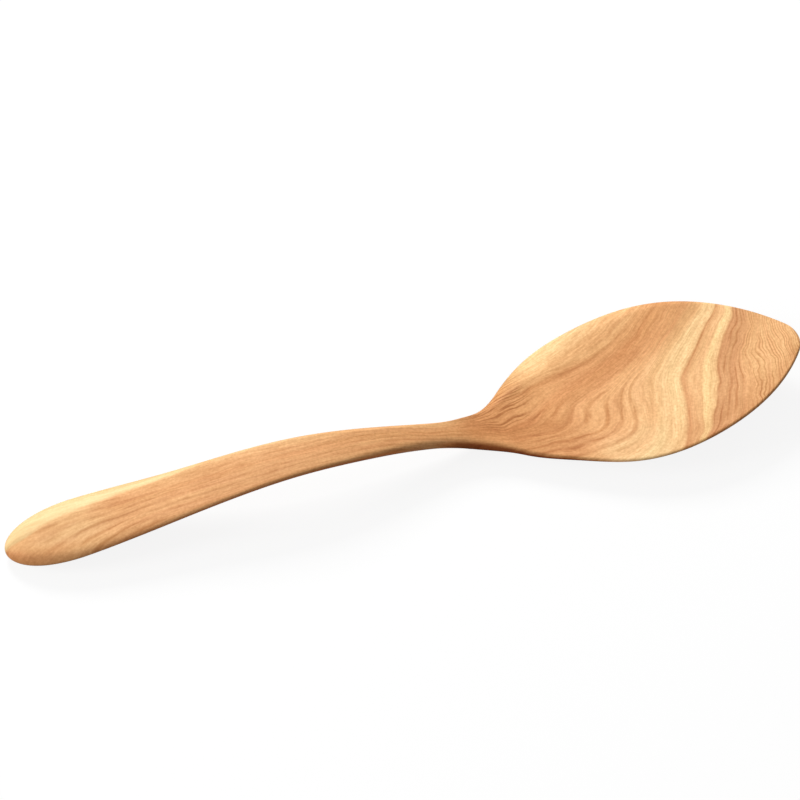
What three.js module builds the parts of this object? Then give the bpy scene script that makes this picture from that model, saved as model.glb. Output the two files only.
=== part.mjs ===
// A wooden cooking spatula, carved in one piece from a single board: a flat grip, an arched handle that
// narrows to a neck, and a leaf-shaped blade hollowed like a very shallow spoon.
// Millimetres, +Z up. +X runs from the end of the handle to the tip of the blade. The far (+Y) edge of
// the top face is bevelled, broadly at the grip and at the shoulder of the blade, and the near (-Y) edge
// is crisp. The spatula lies on a table, on its heel and on the end of its handle.
import * as THREE from "three";

// Lengths and widths seen from above.
const HANDLE_LENGTH = 158; // end of the handle to the narrowest place of the neck
const BLADE_LENGTH = 146; // narrowest place of the neck to the tip
const BLADE_WIDTH = 72;
const WIDEST_SHARE = 0.579; // of the blade's length, from the neck to its widest place
const SHOULDER_FILLET = 45.5; // radius of the hollow curve between neck and blade
const FLARE_ANGLE = 13.5; // degrees that each side has opened by where that fillet starts
const TIP_RADIUS = 12;

// Rounded ends and edges.
const BUTT_ROUND = 15; // length over which the end of the handle thins to nothing
const NOSE_ROUND = 1.6; // the same at the tip of the blade
const EDGE_POWER = 2.3; // fullness of a rounded edge: 2 makes a true ellipse, 1 a flat bevel
const BEVEL_POWER = 1.3; // the same for the far edge of the top face
const BELLY_POWER = 1.5; // the same for the underside
const EDGE_LIMIT = 0.94; // most of the half width that one edge may take

const NECK = HANDLE_LENGTH;
const TIP = HANDLE_LENGTH + BLADE_LENGTH;
const onHandle = (share) => share * HANDLE_LENGTH;
const onBlade = (share) => NECK + share * BLADE_LENGTH;

// Named places along the length, where the wood is measured as a boat is at its frames.
const PLACE = {
  butt: 0,
  grip: onHandle(0.174),
  palm: onHandle(0.392),
  arch: onHandle(0.684),
  wrist: onHandle(0.835),
  neck: NECK,
  flare: onBlade(0.086),
  root: onBlade(0.151),
  heel: onBlade(0.212),
  sole: onBlade(0.329),
  bowl: onBlade(0.459),
  sweep: onBlade(0.699),
  tip: TIP,
};

// Width of the handle.
const WIDTH = { grip: 28.5, palm: 23.8, arch: 18.5, wrist: 15.5, neck: 11.4, flare: 13 };
// How far the section lies over to the far side.
const SWAY = {
  butt: 0, grip: -0.2, arch: -0.6, wrist: -0.3, neck: -0.2,
  root: -0.6, heel: 0.7, sole: 3.1, bowl: 1.6, sweep: 1.6, tip: 0,
};
// Gap from the table up to the middle of the underside, and the thickness there.
const CLEAR = {
  butt: -1.25, palm: 6.5, arch: 12, neck: 5.3,
  heel: 0, sole: 0, bowl: 2.2, sweep: 8, tip: 16.5,
};
const THICK = {
  butt: 9, grip: 9.2, palm: 8.4, arch: 7.8, neck: 8.2,
  heel: 7.6, bowl: 5.6, sweep: 4.3, tip: 2.4,
};
// How much thinner than the middle the wood is at the near and at the far rim.
const NEAR_THIN = { flare: 0, heel: 3.4, sole: 4.2, bowl: 3.6, sweep: 2.4, tip: 0.6 };
const FAR_THIN = { flare: 0, heel: 0.4, sole: 0.6, bowl: 2.2, sweep: 2.2, tip: 0.6 };
// How far the top face stands above its middle at the near and at the far rim.
const NEAR_LIFT = { flare: 0, root: 0.4, heel: 0.9, sole: 2.2, bowl: 2.4, sweep: 2, tip: -0.3 };
const FAR_LIFT = { flare: 0, root: -0.8, heel: 0.6, sole: 1.3, bowl: 2.7, sweep: 2.4, tip: -0.3 };
// How far below the top face the rim line lies, where the top face and the underside meet.
const NEAR_DROP = {
  butt: 4.5, grip: 2.6, palm: 1.1, arch: 0.9, wrist: 1.1, neck: 1.9,
  root: 3, heel: 2.4, sole: 1.6, bowl: 1, sweep: 1, tip: 1.2,
};
const FAR_DROP = {
  butt: 4.5, grip: 5.2, palm: 4, arch: 3, neck: 2.6,
  root: 2.6, heel: 4.2, sole: 4.2, bowl: 2.4, sweep: 1.2, tip: 1.2,
};
// Widths of the rounded near edge and of the bevelled far edge on top, and of both edges underneath.
const NEAR_EDGE = {
  butt: 6, grip: 6, palm: 2.4, arch: 1.8, wrist: 2.2, neck: 3.2,
  root: 3.6, heel: 2.2, sole: 1.4, tip: 1,
};
const FAR_EDGE = {
  butt: 10.5, grip: 10.5, palm: 5, arch: 2.8, neck: 2.5,
  root: 2.6, heel: 6.5, sole: 11, bowl: 8, sweep: 3, tip: 1,
};
const UNDER_EDGE = {
  butt: 12.5, grip: 12.5, palm: 10.4, arch: 8.4, wrist: 6.7, neck: 5.2,
  heel: 9, bowl: 9, sweep: 4.5, tip: 3,
};

// Steps of the mesh: along the butt, the body and the nose, over a rounded edge and across a face.
const BUTT_STEPS = 10;
const BODY_STEPS = 74;
const NOSE_STEPS = 9;
const NOSE_LENGTH = 14;
const EDGE_STEPS = 7;
const FACE_STEPS = 9;

const WOOD = new THREE.MeshStandardMaterial({ color: 0xe2a66f, roughness: 0.6, metalness: 0 });

// A cubic curve through [place, size] points whose curvature has no jumps. An end whose slope isn't
// given is left free, and past its ends the curve stays level.
function fair(points, startSlope, endSlope) {
  const last = points.length - 1;
  const step = points.slice(1).map(([place], i) => place - points[i][0]);
  const pitch = points.slice(1).map(([, size], i) => (size - points[i][1]) / step[i]);
  // One row for each slope: the factors of the slope before, of this one and of the next, and the sum.
  const rows = points.map((point, i) => {
    if (i === 0) return startSlope === undefined ? [0, 2, 1, 3 * pitch[0]] : [0, 1, 0, startSlope];
    if (i === last) return endSlope === undefined ? [1, 2, 0, 3 * pitch[i - 1]] : [0, 1, 0, endSlope];
    const sum = 3 * (step[i] * pitch[i - 1] + step[i - 1] * pitch[i]);
    return [step[i], 2 * (step[i - 1] + step[i]), step[i - 1], sum];
  });
  for (let i = 1; i <= last; i++) {
    const share = rows[i][0] / rows[i - 1][1];
    rows[i][1] -= share * rows[i - 1][2];
    rows[i][3] -= share * rows[i - 1][3];
  }
  const slope = [];
  for (let i = last; i >= 0; i--) {
    const known = i === last ? 0 : rows[i][2] * slope[i + 1];
    slope[i] = (rows[i][3] - known) / rows[i][1];
  }
  return (place) => {
    const x = THREE.MathUtils.clamp(place, points[0][0], points[last][0]);
    const i = Math.max(0, points.findLastIndex(([start], k) => k < last && start <= x));
    const t = (x - points[i][0]) / step[i];
    const s = 1 - t;
    const sizes = s * s * (1 + 2 * t) * points[i][1] + t * t * (1 + 2 * s) * points[i + 1][1];
    return sizes + step[i] * s * t * (s * slope[i] - t * slope[i + 1]);
  };
}

// The fair curve through the sizes that are stated at named places.
function through(sizes, startSlope, endSlope) {
  const points = Object.entries(sizes).map(([name, size]) => [PLACE[name], size]);
  return fair(points, startSlope, endSlope);
}

// A rounded edge: 0 at the edge and 1 from share 1 inwards, along a quarter of a superellipse.
function rounded(share, power) {
  const inside = 1 - THREE.MathUtils.clamp(share, 0, 1);
  return (1 - inside ** power) ** (1 / power);
}

// Half the width at a place along the length. The end of the handle is half an ellipse, the handle is
// a fair curve, and four arcs that touch each other make the blade: the hollow fillet at the shoulder,
// the long curves behind and ahead of the widest place, and the tip.
function planOutline() {
  const opening = THREE.MathUtils.degToRad(FLARE_ANGLE);
  const width = through(WIDTH, 0, 2 * Math.tan(opening));
  const widest = onBlade(WIDEST_SHARE);
  const half = BLADE_WIDTH / 2;

  const fillet = { x: PLACE.flare - SHOULDER_FILLET * Math.sin(opening), r: SHOULDER_FILLET };
  fillet.y = WIDTH.flare / 2 + SHOULDER_FILLET * Math.cos(opening);
  const away = { x: widest - fillet.x, y: fillet.y - half };
  const back = { x: widest, r: (away.x ** 2 + away.y ** 2 - fillet.r ** 2) / (2 * (fillet.r - away.y)) };
  back.y = half - back.r;
  const filletEnd = fillet.x + (away.x * fillet.r) / (fillet.r + back.r);

  const nose = { x: TIP - TIP_RADIUS, y: 0, r: TIP_RADIUS };
  const reach = nose.x - widest;
  const front = { x: widest, r: (reach ** 2 + half ** 2 - nose.r ** 2) / (2 * (half - nose.r)) };
  front.y = half - front.r;
  const noseStart = nose.x + (nose.r * reach) / (front.r - nose.r);

  const bulge = (arc, x) => arc.y + Math.sqrt(Math.max(0, arc.r ** 2 - (x - arc.x) ** 2));
  const hollow = (arc, x) => arc.y - Math.sqrt(Math.max(0, arc.r ** 2 - (x - arc.x) ** 2));
  return (x) => {
    if (x < PLACE.grip) return (WIDTH.grip / 2) * rounded(x / PLACE.grip, 2);
    if (x < PLACE.flare) return width(x) / 2;
    if (x < filletEnd) return hollow(fillet, x);
    if (x < widest) return bulge(back, x);
    return x < noseStart ? bulge(front, x) : bulge(nose, x);
  };
}

// One face of a section, from its far edge to its near edge: each point's place across, and the share
// of the way from the rim line to the face that it stands out by.
function acrossFace(half, far, near) {
  const farWidth = Math.min(far.width, EDGE_LIMIT * half);
  const nearWidth = Math.min(near.width, EDGE_LIMIT * half);
  const inset = (i) => 1 - Math.cos((i / EDGE_STEPS) * (Math.PI / 2));
  const face = [];
  for (let i = 0; i < EDGE_STEPS; i++) {
    face.push({ y: half - farWidth * inset(i), out: rounded(inset(i), far.power) });
  }
  for (let i = 0; i <= FACE_STEPS; i++) {
    face.push({ y: THREE.MathUtils.lerp(half - farWidth, nearWidth - half, i / FACE_STEPS), out: 1 });
  }
  for (let i = EDGE_STEPS - 1; i >= 0; i--) {
    face.push({ y: nearWidth * inset(i) - half, out: rounded(inset(i), near.power) });
  }
  return face;
}

// Gives the ring of points round the section at a place along the length, over the top from the far
// side to the near side and back underneath. The table cuts the lowest wood flat.
function sectionMaker() {
  const halfWidth = planOutline();
  const clear = through(CLEAR);
  const sway = through(SWAY, 0);
  const thick = through(THICK, 0);
  const thin = { near: through(NEAR_THIN, 0), far: through(FAR_THIN, 0) };
  const lift = { near: through(NEAR_LIFT, 0), far: through(FAR_LIFT, 0) };
  const drop = { near: through(NEAR_DROP, 0), far: through(FAR_DROP, 0) };
  const nearEdge = through(NEAR_EDGE, 0, 0);
  const farEdge = through(FAR_EDGE, 0, 0);
  const underEdge = through(UNDER_EDGE, 0, 0);
  return (x) => {
    const half = halfWidth(x);
    const ends = rounded(x / BUTT_ROUND, EDGE_POWER) * rounded((TIP - x) / NOSE_ROUND, EDGE_POWER);
    const place = (y, isTop, out) => {
      const side = y > 0 ? "far" : "near";
      const share = half > 0 ? y / half : 0;
      const top = clear(x) + thick(x) + lift[side](x) * share ** 2;
      const whole = thick(x) - thin[side](x) * share ** 2;
      const rim = THREE.MathUtils.lerp(drop.near(x), drop.far(x), (1 + share) / 2);
      const depth = rim + (isTop ? -rim : whole - rim) * out * ends;
      return new THREE.Vector3(x, y + sway(x), Math.max(top - depth, 0));
    };
    const bevel = { width: farEdge(x), power: BEVEL_POWER };
    const crisp = { width: nearEdge(x), power: EDGE_POWER };
    const belly = { width: underEdge(x), power: BELLY_POWER };
    const top = acrossFace(half, bevel, crisp).map(({ y, out }) => place(y, true, out));
    const under = acrossFace(half, belly, belly).map(({ y, out }) => place(y, false, out));
    return [...top, ...under.slice(1, -1).reverse()];
  };
}

// Places along the length, closer together towards the round end of the handle and towards the tip.
function places() {
  const quarter = (i, steps) => (i / steps) * (Math.PI / 2);
  const noseStart = TIP - NOSE_LENGTH;
  const along = [];
  for (let i = 0; i < BUTT_STEPS; i++) {
    along.push(PLACE.grip * (1 - Math.cos(quarter(i, BUTT_STEPS))));
  }
  for (let i = 0; i < BODY_STEPS; i++) {
    along.push(THREE.MathUtils.lerp(PLACE.grip, noseStart, i / BODY_STEPS));
  }
  for (let i = 0; i <= NOSE_STEPS; i++) {
    along.push(noseStart + NOSE_LENGTH * Math.sin(quarter(i, NOSE_STEPS)));
  }
  return along;
}

// A closed skin over rings of equal count. The first and last ring have shrunk to a point each.
function loft(rings) {
  const count = rings[0].length;
  const inner = rings.slice(1, -1);
  const points = [rings[0][0], ...inner.flat(), rings.at(-1)[0]];
  const start = 0;
  const end = points.length - 1;
  const at = (ring, i) => 1 + ring * count + (i % count);
  const faces = [];
  for (let i = 0; i < count; i++) {
    faces.push(start, at(0, i + 1), at(0, i));
    faces.push(end, at(inner.length - 1, i), at(inner.length - 1, i + 1));
  }
  for (let ring = 0; ring + 1 < inner.length; ring++) {
    for (let i = 0; i < count; i++) {
      const [a, b] = [at(ring, i), at(ring, i + 1)];
      const [c, d] = [at(ring + 1, i), at(ring + 1, i + 1)];
      faces.push(a, b, d, a, d, c);
    }
  }
  const geometry = new THREE.BufferGeometry().setFromPoints(points).setIndex(faces);
  geometry.computeVertexNormals();
  return geometry;
}

const body = new THREE.Mesh(loft(places().map(sectionMaker())), WOOD);
body.name = "spatula_body";

// The origin is on the table, under the middle of the overall length and width.
const middle = new THREE.Box3().setFromObject(body).getCenter(new THREE.Vector3());
body.position.set(-middle.x, -middle.y, 0);

const spatula = new THREE.Group();
spatula.add(body);

export default spatula;
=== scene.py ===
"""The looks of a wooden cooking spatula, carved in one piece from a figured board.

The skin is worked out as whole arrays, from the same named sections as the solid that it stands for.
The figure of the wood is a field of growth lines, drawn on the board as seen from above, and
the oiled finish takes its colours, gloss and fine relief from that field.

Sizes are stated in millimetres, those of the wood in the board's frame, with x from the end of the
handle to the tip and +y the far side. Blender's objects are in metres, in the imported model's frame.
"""

import logging
import math
from dataclasses import dataclass, field
from enum import Enum
from typing import Callable, Sequence

import bpy
import numpy as np
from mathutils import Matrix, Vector


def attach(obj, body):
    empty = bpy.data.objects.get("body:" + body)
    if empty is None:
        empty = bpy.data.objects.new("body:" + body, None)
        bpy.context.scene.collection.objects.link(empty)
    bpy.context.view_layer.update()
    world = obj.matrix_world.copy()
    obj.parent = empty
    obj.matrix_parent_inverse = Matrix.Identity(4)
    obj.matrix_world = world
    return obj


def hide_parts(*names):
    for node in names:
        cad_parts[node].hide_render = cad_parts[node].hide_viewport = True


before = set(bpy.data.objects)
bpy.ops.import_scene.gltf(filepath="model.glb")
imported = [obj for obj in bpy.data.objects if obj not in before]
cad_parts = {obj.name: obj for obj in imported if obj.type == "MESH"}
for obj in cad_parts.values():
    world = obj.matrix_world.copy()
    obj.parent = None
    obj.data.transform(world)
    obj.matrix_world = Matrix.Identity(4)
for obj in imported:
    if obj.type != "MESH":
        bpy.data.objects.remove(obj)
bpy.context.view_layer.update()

LOG = logging.getLogger("spatula")
METRE = 1000.0  # millimetres
TINY = 1e-12  # keeps a logarithm or a quotient within bounds
ELLIPSE = 2.0  # the power with which a rounded edge is a true ellipse

Socket = bpy.types.NodeSocket
Pair = tuple[float, float]
Point = tuple[float, float]
Colour = tuple[float, float, float]
Stated = dict[str, float]
AgeField = Callable[[np.ndarray, np.ndarray], np.ndarray]


def tint(red: int, green: int, blue: int) -> Colour:
    """Turns a colour as a screen shows it, 0 to 255, into the linear light that a shader works in.

    Args:
        red: Red as shown.
        green: Green as shown.
        blue: Blue as shown.

    Returns:
        The colour in linear light, by the standard screen curve.
    """
    shown = np.array([red, green, blue]) / 255.0
    light = np.where(shown <= 0.04045, shown / 12.92, ((shown + 0.055) / 1.055) ** 2.4)
    return tuple(float(part) for part in light)


def smooth(value: np.ndarray, low: float, high: float) -> np.ndarray:
    """Rises from 0 at low to 1 at high, level at both ends.

    Args:
        value: Any array.
        low: Where the rise starts.
        high: Where it ends. It may be less than low, and the rise then runs backwards.

    Returns:
        3 t^2 - 2 t^3, with t the share of the way from low to high, kept within 0 and 1.
    """
    share = np.clip((value - low) / (high - low), 0.0, 1.0)
    return share * share * (3.0 - 2.0 * share)


def rounded(share: np.ndarray, power: float) -> np.ndarray:
    """Gives the height of a rounded edge, along a quarter of a superellipse.

    Args:
        share: Way in from the edge, 0 at the edge and 1 where the round ends.
        power: ELLIPSE makes a true ellipse, and more makes the edge fuller.

    Returns:
        (1 - (1 - share)^power)^(1 / power), with the share kept within 0 and 1.
    """
    inside = 1.0 - np.clip(share, 0.0, 1.0)
    return (1.0 - inside ** power) ** (1.0 / power)


@dataclass(frozen=True)
class FairCurve:
    """A cubic curve through given sizes whose curvature has no jumps, level past its ends.

    Attributes:
        places: Places along the length, rising.
        sizes: The size at each place.
        start_slope: Slope at the first place, or None to leave that end free.
        end_slope: Slope at the last place, or None to leave that end free.
    """

    places: Sequence[float]
    sizes: Sequence[float]
    start_slope: float | None = None
    end_slope: float | None = None

    def slopes(self) -> np.ndarray:
        """Solves for the slope at every place.

        Returns:
            The slopes that make the second slope equal on both sides of each inner place, and nothing
            at an end that is left free.
        """
        step = np.diff(self.places)
        pitch = np.diff(self.sizes) / step
        count = len(self.places)
        rows = np.zeros((count, count))
        sums = np.zeros(count)
        inner = np.arange(1, count - 1)
        rows[inner, inner - 1] = step[1:]
        rows[inner, inner] = 2.0 * (step[:-1] + step[1:])
        rows[inner, inner + 1] = step[:-1]
        sums[inner] = 3.0 * (step[1:] * pitch[:-1] + step[:-1] * pitch[1:])
        rows[0, :2], sums[0] = (2.0, 1.0), 3.0 * pitch[0]
        rows[-1, -2:], sums[-1] = (1.0, 2.0), 3.0 * pitch[-1]
        if self.start_slope is not None:
            rows[0, :2], sums[0] = (1.0, 0.0), self.start_slope
        if self.end_slope is not None:
            rows[-1, -2:], sums[-1] = (0.0, 1.0), self.end_slope
        return np.linalg.solve(rows, sums)

    def __call__(self, x: np.ndarray) -> np.ndarray:
        """Gives the curve's size at every x.

        Args:
            x: Places along the length.

        Returns:
            The cubic that has the stated sizes and the solved slopes at the two places round each x.
        """
        at, size, slope = np.asarray(self.places), np.asarray(self.sizes), self.slopes()
        inside = np.clip(x, at[0], at[-1])
        i = np.clip(np.searchsorted(at, inside, side="right") - 1, 0, len(at) - 2)
        step = (at[1:] - at[:-1])[i]
        t = (inside - at[i]) / step
        s = 1.0 - t
        ends = s * s * (1.0 + 2.0 * t) * size[i] + t * t * (1.0 + 2.0 * s) * size[i + 1]
        return ends + step * s * t * (s * slope[i] - t * slope[i + 1])


def stated(**sizes: float) -> Stated:
    """Makes a dataclass field of sizes by the names of their places."""
    return field(default_factory=lambda: dict(sizes))


class Face(Enum):
    """The two faces of the wood."""

    TOP = "top"
    UNDER = "under"


@dataclass(frozen=True)
class Measures:
    """What the wood measures at named places along its length. It is fair between them.

    Attributes:
        width: Width of the handle.
        sway: How far the section lies over to the far side.
        clear: Gap from the table up to the middle of the underside.
        thick: Thickness in the middle.
        near_thin: How much thinner than the middle the near rim is.
        far_thin: The same for the far rim.
        near_lift: How far the top face stands above its middle at the near rim.
        far_lift: The same at the far rim.
        near_drop: How far the near rim line, where both faces meet, lies below the top face.
        far_drop: The same on the far side.
        near_edge: Width of the rounded near edge of the top face.
        far_edge: Width of the bevelled far edge of the top face.
        under_edge: Width of both rounded edges of the underside.
    """

    width: Stated = stated(grip=28.5, palm=23.8, arch=18.5, wrist=15.5, neck=11.4, flare=13.0)
    sway: Stated = stated(
        butt=0.0, grip=-0.2, arch=-0.6, wrist=-0.3, neck=-0.2, root=-0.6, heel=0.7, sole=3.1, bowl=1.6,
        sweep=1.6, tip=0.0)
    clear: Stated = stated(
        butt=-1.25, palm=6.5, arch=12.0, neck=5.3, heel=0.0, sole=0.0, bowl=2.2, sweep=8.0, tip=16.5)
    thick: Stated = stated(
        butt=9.0, grip=9.2, palm=8.4, arch=7.8, neck=8.2, heel=7.6, bowl=5.6, sweep=4.3, tip=2.4)
    near_thin: Stated = stated(flare=0.0, heel=3.4, sole=4.2, bowl=3.6, sweep=2.4, tip=0.6)
    far_thin: Stated = stated(flare=0.0, heel=0.4, sole=0.6, bowl=2.2, sweep=2.2, tip=0.6)
    near_lift: Stated = stated(flare=0.0, root=0.4, heel=0.9, sole=2.2, bowl=2.4, sweep=2.0, tip=-0.3)
    far_lift: Stated = stated(flare=0.0, root=-0.8, heel=0.6, sole=1.3, bowl=2.7, sweep=2.4, tip=-0.3)
    near_drop: Stated = stated(
        butt=4.5, grip=2.6, palm=1.1, arch=0.9, wrist=1.1, neck=1.9, root=3.0, heel=2.4, sole=1.6,
        bowl=1.0, sweep=1.0, tip=1.2)
    far_drop: Stated = stated(
        butt=4.5, grip=5.2, palm=4.0, arch=3.0, neck=2.6, root=2.6, heel=4.2, sole=4.2, bowl=2.4,
        sweep=1.2, tip=1.2)
    near_edge: Stated = stated(
        butt=6.0, grip=6.0, palm=2.4, arch=1.8, wrist=2.2, neck=3.2, root=3.6, heel=2.2, sole=1.4, tip=1.0)
    far_edge: Stated = stated(
        butt=10.5, grip=10.5, palm=5.0, arch=2.8, neck=2.5, root=2.6, heel=6.5, sole=11.0, bowl=8.0,
        sweep=3.0, tip=1.0)
    under_edge: Stated = stated(
        butt=12.5, grip=12.5, palm=10.4, arch=8.4, wrist=6.7, neck=5.2, heel=9.0, bowl=9.0, sweep=4.5,
        tip=3.0)


@dataclass(frozen=True)
class GrowthLine:
    """One growth line of the board, seen from above.

    Attributes:
        age: Its place in the order of growth, about one for each millimetre across the lines.
        points: The places that it runs through.
    """

    age: float
    points: tuple[Point, ...]


@dataclass(frozen=True)
class Figure:
    """The field of growth lines all over the board.

    Attributes:
        lines: The given lines. The field is smooth between them.
        reach: Length that places are divided by before the field is solved.
        slack: How far the field may leave the drawn lines so as to stay smooth.
        dip: How fast the age grows with depth below the rim, for each millimetre.
    """

    lines: tuple[GrowthLine, ...] = (
        GrowthLine(-1.0, ((200, 20.5), (210, 24), (220, 27), (228, 30), (234, 32.8), (239, 35.8))),
        GrowthLine(4.8, (
            (60, 5.6), (110, 4.6), (158, 3.0), (176, 4.6), (188, 9), (203, 13.8), (213, 16.3),
            (222, 17.6), (230, 20), (238, 23.6), (245, 27.6), (250, 31), (255.5, 35))),
        GrowthLine(7.2, (
            (30, 4.4), (60, 3.2), (110, 2.2), (158, 0.9), (176, 1.2), (190, 3.2), (203, 6.8), (213, 11.4),
            (226, 15.2), (238, 20), (247, 25), (253.5, 30.4), (258.5, 34.6))),
        GrowthLine(9.6, (
            (6, 0.5), (30, 1.6), (60, 1.0), (110, 0.1), (158, -1.2), (176, -1.8), (186, -4.0),
            (194, -3.2), (199, -2.0), (203, 0.8), (208, 3.8), (215, 8.2), (226, 12), (236, 16),
            (244, 20.5), (251, 25.5), (257, 30.5), (261, 34))),
        GrowthLine(12.0, (
            (7, -6.4), (17, -3.4), (30, -1.6), (60, -1.3), (110, -1.9), (158, -2.7), (176, -4.2),
            (190, -6.4), (199, -6.2), (204, -4.6), (207.5, -1.6), (210, 1.6), (217, 5.4), (227, 9),
            (238, 13.8), (246.5, 18.6), (253, 23.8), (259, 29), (263.4, 33))),
        GrowthLine(14.4, (
            (16, -9.9), (24, -7.2), (34, -5.0), (46, -3.9), (60, -3.6), (110, -3.9), (158, -4.0),
            (178, -6.6), (196, -9.8), (203, -10.2), (209, -8.4), (212, -5.6), (213.4, -2.4), (215.5, 1),
            (223, 4.4), (230, 7.2), (239, 11.2), (247, 15.8), (254, 21), (260, 26.5), (265.5, 32))),
        GrowthLine(16.8, (
            (24, -12.4), (32, -9.4), (42, -7.2), (52, -6.3), (60, -6.0), (110, -5.6), (150, -4.9),
            (190, -12.6), (203, -12.0), (210, -11.6), (215.5, -10.4), (217.8, -7.6), (218.8, -3.6),
            (221.5, -0.4), (230, 4), (240, 9), (249, 15.2), (256, 21.2), (262, 26.8), (266.6, 31.6))),
        GrowthLine(19.2, (
            (33, -13.4), (42, -10.6), (52, -9.0), (60, -8.5), (110, -7.4), (193, -15.6), (205, -15.4),
            (213, -14.6), (219, -14.6), (223, -12.6), (225, -8.6), (225.8, -4), (229, 0.2), (236, 4.6),
            (244, 9.6), (252, 15.6), (258, 20.8), (263.5, 26.2), (268, 31))),
        GrowthLine(21.6, (
            (200, -19.6), (207, -20.0), (214, -18.2), (221, -18.0), (226, -15.6), (229, -11.6),
            (230.4, -7), (231.6, -2.8), (236, 2.6), (243, 7.6), (250, 12.6), (257, 18.4), (263.5, 24),
            (270, 30.2))),
        GrowthLine(24.0, (
            (206, -24.4), (214, -23.2), (222, -22.2), (228, -21), (232, -18.6), (234.2, -14.4), (235, -8),
            (236, -2), (240, 3.6), (248, 9.4), (256, 15.8), (263, 21.8), (268, 26.4), (272, 30))),
        GrowthLine(31.0, (
            (225, -32.6), (231, -30.8), (236, -28), (240, -23.6), (242.6, -18.4), (245, -11),
            (247.4, -3.4), (251.5, 4.6), (260, 12.6), (269, 20), (276, 25.4))),
        GrowthLine(38.4, (
            (245, -35), (249, -28), (251.8, -22), (254, -15.4), (255.6, -8), (257.6, -2), (260.5, 1.5),
            (263.5, 5), (266.5, 8.5), (270, 12.7), (275, 18.4), (280, 23.2))),
        GrowthLine(45.0, (
            (254.5, -31), (257.5, -25), (260, -20), (262.3, -15), (264.3, -10), (266.8, -5), (268.5, 0.5),
            (273.5, 7.5), (279, 14), (284, 20))),
        GrowthLine(48.0, (
            (255, -32), (260, -25), (263.5, -20), (266, -15), (269, -10), (270.3, -5), (272.3, 0),
            (275, 5), (278.5, 10), (282.3, 15), (286, 20.4))),
        GrowthLine(52.8, (
            (263.5, -29), (265.5, -25), (268, -20), (270.5, -15), (273.2, -10), (274.5, -5), (276.8, 0),
            (280.2, 5), (283.5, 10), (287.5, 15))),
        GrowthLine(55.2, (
            (266.6, -29), (268.5, -25), (271, -20), (273.5, -15), (275.3, -10), (276.7, -5), (279.3, 0),
            (283.3, 5), (286.5, 10))),
        GrowthLine(59.2, (
            (272.5, -25), (274.8, -20), (277, -15), (278.6, -10), (279.5, -5), (281.5, 0), (285, 5),
            (289, 10))),
        GrowthLine(66.0, (
            (277, -25), (279.5, -20), (281.5, -15), (283.2, -10), (284, -5), (285, 0), (287.8, 5),
            (291, 10))),
        GrowthLine(72.6, (
            (284, -20), (286.5, -15), (288.5, -10), (289, -5), (289.3, 0), (290.5, 5), (292.5, 10))),
        GrowthLine(79.0, ((290.2, -15), (291.5, -10), (292, -5), (292, 0), (293, 5), (294.2, 10))),
        GrowthLine(86.0, ((294.2, -10), (294.8, -5), (295.2, 0), (295.8, 5), (296.5, 9))),
        GrowthLine(94.0, ((296.5, -9), (297.4, -5), (298, 0), (298.6, 5))),
    )
    reach: float = 60.0
    slack: float = 2e-4
    dip: float = 1.15

    def solve(self) -> AgeField:
        """Solves for the smoothest field that has each drawn line's age along it.

        Returns:
            A function of x and y. It is a sloping plane plus, for every drawn point, a weight times
            r^2 log r, with r the distance to that point: a thin plate bent over the points.
        """
        places = np.array([point for line in self.lines for point in line.points]) / self.reach
        ages = np.array([line.age for line in self.lines for _ in line.points])
        count = len(places)

        def bend(square: np.ndarray) -> np.ndarray:
            """Gives r^2 log r from the square of r, with nothing where r is nothing."""
            return 0.5 * square * np.log(np.maximum(square, TINY))

        apart = ((places[:, None, :] - places[None, :, :]) ** 2).sum(axis=2)
        plane = np.column_stack([np.ones(count), places])
        rows = np.block([[bend(apart) + self.slack * np.eye(count), plane], [plane.T, np.zeros((3, 3))]])
        weights = np.linalg.solve(rows, np.concatenate([ages, np.zeros(3)]))

        def age(x: np.ndarray, y: np.ndarray) -> np.ndarray:
            """Gives the age at places on the board seen from above.

            Args:
                x: Places along the length.
                y: Places across it.

            Returns:
                The plane and the weighted terms of all drawn points, added up.
            """
            at = np.column_stack([x.ravel(), y.ravel()]) / self.reach
            square = ((at[:, None, :] - places[None, :, :]) ** 2).sum(axis=2)
            flat = bend(square) @ weights[:count] + weights[count] + at @ weights[count + 1:]
            return flat.reshape(x.shape)

        return age


class Reading(Enum):
    """What can be read at a place on the skin, in millimetres unless it says otherwise."""

    LENGTH = "place along the board"
    ACROSS = "place across the board"
    SHARE = "place across in shares of the half width, -1 at the near rim and 1 at the far one"
    NEAR_RIM = "way in from the near rim"
    DEPTH = "depth below the top face"
    BELOW = "depth below the rim"
    AGE = "age of the wood"
    LEAN = "place across, above a line that leans over in the dish"
    # Place across, above the border of the painted highlight along the far edge of the grip
    PAINTED_LIGHT = "place across, above the border of the sapwood"


Readings = dict[Reading, np.ndarray]


@dataclass(frozen=True)
class Rise:
    """A smooth change from one value to another along one reading.

    Attributes:
        reading: What it runs along.
        start: Where the change starts.
        end: Where it ends. It may be less than start.
        before: The value at the start.
        after: The value at the end.
    """

    reading: Reading
    start: float
    end: float
    before: float = 0.0
    after: float = 1.0

    def on(self, skin: Readings) -> np.ndarray:
        """Gives the value all over the skin, by a smooth step."""
        return self.before + (self.after - self.before) * smooth(skin[self.reading], self.start, self.end)


@dataclass(frozen=True)
class Stretch:
    """A stretch of the board's length with soft ends.

    Attributes:
        start: Where it starts.
        full: Where it has risen to 1.
        last: Where it starts to sink again.
        end: Where it ends.
    """

    start: float
    full: float
    last: float
    end: float

    def on(self, skin: Readings) -> np.ndarray:
        """Gives the product of a smooth step up and a smooth step down."""
        x = skin[Reading.LENGTH]
        return smooth(x, self.start, self.full) * smooth(x, self.end, self.last)


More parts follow.
